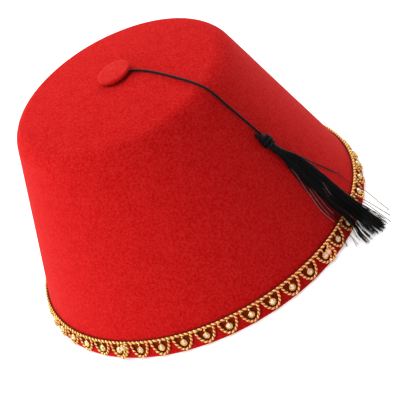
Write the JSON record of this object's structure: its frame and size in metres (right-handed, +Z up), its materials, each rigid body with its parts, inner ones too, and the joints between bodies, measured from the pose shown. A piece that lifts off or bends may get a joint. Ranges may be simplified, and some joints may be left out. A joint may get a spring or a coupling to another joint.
{
  "type": "fez hat",
  "caption": "Tapered red felt fez with a low domed top, felt button, black cord and tassel, and a gold scalloped braid with stones round the rim.",
  "frame": {"origin": "centre of the rim, on the surface the hat stands on", "axes": "+Z up along the crown, -Y towards the side the picture shows, the tassel falls between +X and -Y"},
  "size_m": [0.1878, 0.1878, 0.1172],
  "materials": {
    "red_felt": "matt wool felt",
    "gold_braid": "metallised gold thread",
    "black_thread": "slightly glossy rayon thread"
  },
  "bodies": {
    "root": {"felt_crown": "red_felt", "top_button": "red_felt", "stone_braid": "gold_braid", "tassel_cord": "black_thread", "tassel": "black_thread"}
  },
  "joints": []
}
